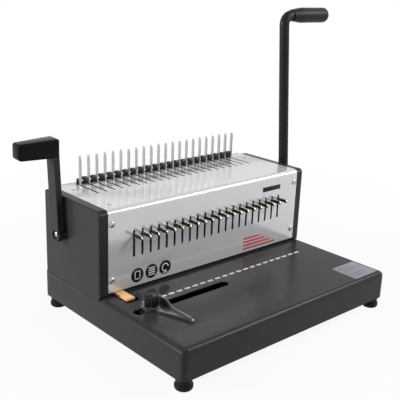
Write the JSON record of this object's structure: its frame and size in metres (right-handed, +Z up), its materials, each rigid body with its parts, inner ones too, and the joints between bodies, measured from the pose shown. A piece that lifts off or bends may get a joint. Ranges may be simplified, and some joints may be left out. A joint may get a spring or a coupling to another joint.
{
  "type": "comb binding machine",
  "caption": "Desk machine that punches a row of holes in paper with a tall right lever and opens plastic combs on a row of pins with a short left lever.",
  "frame": {"origin": "on the table, below the middle of the machine's box with both grips", "axes": "+X to the right along the row of holes, +Y from the paper table to the back, +Z up"},
  "size_m": [0.5766, 0.3124, 0.4313],
  "materials": {
    "black_paint": "fine-textured satin powder coat",
    "silver_sheet": "satin",
    "hook_black": "satin black",
    "lever_black": "satin black",
    "comb_lever_black": "satin black",
    "grip_rubber": "soft sheen",
    "grip_plastic": "moulded, soft gloss",
    "screw_steel": "bright zinc",
    "pin_steel": "satin",
    "frame_steel": "zinc plated",
    "tool_steel": "ground",
    "gear_steel": "machined",
    "spring_steel": "drawn wire",
    "bush_bronze": "sintered",
    "tab_steel": "bronze-black oxide",
    "guide_metal": "bright nickel",
    "knob_plastic": "moulded",
    "depth_yellow": "yellow passivated",
    "drawer_plastic": "moulded",
    "foot_rubber": "matte"
  },
  "bodies": {
    "frame": {"base_shell": "black_paint", "bottom_plate": "black_paint", "rubber_feet": "foot_rubber", "left_cover": "black_paint", "right_cover": "black_paint", "front_top_cover": "silver_sheet", "rear_cover": "black_paint", "side_frames": "frame_steel", "die_plate": "tool_steel", "guide_block": "tool_steel", "guide_pillars": "tool_steel", "return_springs": "spring_steel", "shaft_bushes": "bush_bronze", "carriage_rails": "frame_steel", "hook_rail": "hook_black", "comb_hooks": "hook_black", "cover_screws": "screw_steel"},
    "punch_lever": {"main_shaft": "tool_steel", "drive_pinions": "gear_steel", "lever_hub": "lever_black", "lever_tube": "lever_black", "lever_grip": "grip_rubber", "lever_hub_screw": "screw_steel"},
    "punch_beam": {"punch_beam": "frame_steel", "beam_racks": "gear_steel", "punches": "tool_steel"},
    "comb_lever": {"comb_lever_arm": "comb_lever_black", "comb_lever_grip": "grip_plastic", "opener_shaft": "tool_steel", "sector_gears": "gear_steel", "comb_lever_screw": "screw_steel"},
    "pin_carriage": {"carriage_bar": "frame_steel", "opening_pins": "pin_steel", "carriage_racks": "gear_steel"},
    "edge_guide": {"edge_guide": "guide_metal", "guide_clamp": "frame_steel"},
    "clamp_knob": {"clamp_knob": "knob_plastic"},
    "depth_stop": {"depth_stop": "depth_yellow"},
    "chip_drawer": {"chip_drawer": "drawer_plastic"},
    "pull_tab_01": {"pull_tab_01": "tab_steel"},
    "pull_tab_02": {"pull_tab_02": "tab_steel"},
    "pull_tab_03": {"pull_tab_03": "tab_steel"},
    "pull_tab_04": {"pull_tab_04": "tab_steel"},
    "pull_tab_05": {"pull_tab_05": "tab_steel"},
    "pull_tab_06": {"pull_tab_06": "tab_steel"},
    "pull_tab_07": {"pull_tab_07": "tab_steel"},
    "pull_tab_08": {"pull_tab_08": "tab_steel"},
    "pull_tab_09": {"pull_tab_09": "tab_steel"},
    "pull_tab_10": {"pull_tab_10": "tab_steel"},
    "pull_tab_11": {"pull_tab_11": "tab_steel"},
    "pull_tab_12": {"pull_tab_12": "tab_steel"},
    "pull_tab_13": {"pull_tab_13": "tab_steel"},
    "pull_tab_14": {"pull_tab_14": "tab_steel"},
    "pull_tab_15": {"pull_tab_15": "tab_steel"},
    "pull_tab_16": {"pull_tab_16": "tab_steel"},
    "pull_tab_17": {"pull_tab_17": "tab_steel"},
    "pull_tab_18": {"pull_tab_18": "tab_steel"},
    "pull_tab_19": {"pull_tab_19": "tab_steel"},
    "pull_tab_20": {"pull_tab_20": "tab_steel"},
    "pull_tab_21": {"pull_tab_21": "tab_steel"}
  },
  "joints": [
    {"name": "punch_lever_hinge", "type": "hinge", "parent": "frame", "child": "punch_lever", "pos_m": [-0.0248, 0.06767, 0.129], "axis": [1, 0, 0], "range_deg": [0, 83.3]},
    {"name": "punch_slide", "type": "slide", "parent": "frame", "child": "punch_beam", "axis": [0, 0, -1], "range_m": [0, 0.024], "stiffness_N_per_m": 300, "springref_m": -0.06, "deforming": ["return_springs"]},
    {"name": "comb_lever_hinge", "type": "hinge", "parent": "frame", "child": "comb_lever", "pos_m": [-0.0248, 0.10925, 0.12652], "axis": [1, 0, 0], "range_deg": [0, 59.4]},
    {"name": "pin_carriage_slide", "type": "slide", "parent": "frame", "child": "pin_carriage", "axis": [0, -1, 0], "range_m": [0, 0.042]},
    {"name": "edge_guide_slide", "type": "slide", "parent": "frame", "child": "edge_guide", "axis": [1, 0, 0], "range_m": [-0.0165, 0.1265]},
    {"name": "clamp_knob_turn", "type": "hinge", "parent": "edge_guide", "child": "clamp_knob", "pos_m": [-0.18475, -0.04325, 0.059], "axis": [0, 0, 1], "range_deg": [-180, 180]},
    {"name": "depth_stop_slide", "type": "slide", "parent": "frame", "child": "depth_stop", "axis": [0, -1, 0], "range_m": [0, 0.003]},
    {"name": "chip_drawer_slide", "type": "slide", "parent": "frame", "child": "chip_drawer", "axis": [1, 0, 0], "range_m": [0, 0.3]},
    {"name": "pull_tab_01_slide", "type": "slide", "parent": "punch_beam", "child": "pull_tab_01", "axis": [0, -1, 0], "range_m": [0, 0.008]},
    {"name": "pull_tab_02_slide", "type": "slide", "parent": "punch_beam", "child": "pull_tab_02", "axis": [0, -1, 0], "range_m": [0, 0.008]},
    {"name": "pull_tab_03_slide", "type": "slide", "parent": "punch_beam", "child": "pull_tab_03", "axis": [0, -1, 0], "range_m": [0, 0.008]},
    {"name": "pull_tab_04_slide", "type": "slide", "parent": "punch_beam", "child": "pull_tab_04", "axis": [0, -1, 0], "range_m": [0, 0.008]},
    {"name": "pull_tab_05_slide", "type": "slide", "parent": "punch_beam", "child": "pull_tab_05", "axis": [0, -1, 0], "range_m": [0, 0.008]},
    {"name": "pull_tab_06_slide", "type": "slide", "parent": "punch_beam", "child": "pull_tab_06", "axis": [0, -1, 0], "range_m": [0, 0.008]},
    {"name": "pull_tab_07_slide", "type": "slide", "parent": "punch_beam", "child": "pull_tab_07", "axis": [0, -1, 0], "range_m": [0, 0.008]},
    {"name": "pull_tab_08_slide", "type": "slide", "parent": "punch_beam", "child": "pull_tab_08", "axis": [0, -1, 0], "range_m": [0, 0.008]},
    {"name": "pull_tab_09_slide", "type": "slide", "parent": "punch_beam", "child": "pull_tab_09", "axis": [0, -1, 0], "range_m": [0, 0.008]},
    {"name": "pull_tab_10_slide", "type": "slide", "parent": "punch_beam", "child": "pull_tab_10", "axis": [0, -1, 0], "range_m": [0, 0.008]},
    {"name": "pull_tab_11_slide", "type": "slide", "parent": "punch_beam", "child": "pull_tab_11", "axis": [0, -1, 0], "range_m": [0, 0.008]},
    {"name": "pull_tab_12_slide", "type": "slide", "parent": "punch_beam", "child": "pull_tab_12", "axis": [0, -1, 0], "range_m": [0, 0.008]},
    {"name": "pull_tab_13_slide", "type": "slide", "parent": "punch_beam", "child": "pull_tab_13", "axis": [0, -1, 0], "range_m": [0, 0.008]},
    {"name": "pull_tab_14_slide", "type": "slide", "parent": "punch_beam", "child": "pull_tab_14", "axis": [0, -1, 0], "range_m": [0, 0.008]},
    {"name": "pull_tab_15_slide", "type": "slide", "parent": "punch_beam", "child": "pull_tab_15", "axis": [0, -1, 0], "range_m": [0, 0.008]},
    {"name": "pull_tab_16_slide", "type": "slide", "parent": "punch_beam", "child": "pull_tab_16", "axis": [0, -1, 0], "range_m": [0, 0.008]},
    {"name": "pull_tab_17_slide", "type": "slide", "parent": "punch_beam", "child": "pull_tab_17", "axis": [0, -1, 0], "range_m": [0, 0.008]},
    {"name": "pull_tab_18_slide", "type": "slide", "parent": "punch_beam", "child": "pull_tab_18", "axis": [0, -1, 0], "range_m": [0, 0.008]},
    {"name": "pull_tab_19_slide", "type": "slide", "parent": "punch_beam", "child": "pull_tab_19", "axis": [0, -1, 0], "range_m": [0, 0.008]},
    {"name": "pull_tab_20_slide", "type": "slide", "parent": "punch_beam", "child": "pull_tab_20", "axis": [0, -1, 0], "range_m": [0, 0.008]},
    {"name": "pull_tab_21_slide", "type": "slide", "parent": "punch_beam", "child": "pull_tab_21", "axis": [0, -1, 0], "range_m": [0, 0.008]}
  ],
  "couplings": [
    {"joint": "punch_slide", "follows": "punch_lever_hinge", "m_per_rad": 0.0165},
    {"joint": "pin_carriage_slide", "follows": "comb_lever_hinge", "m_per_rad": 0.0405}
  ]
}
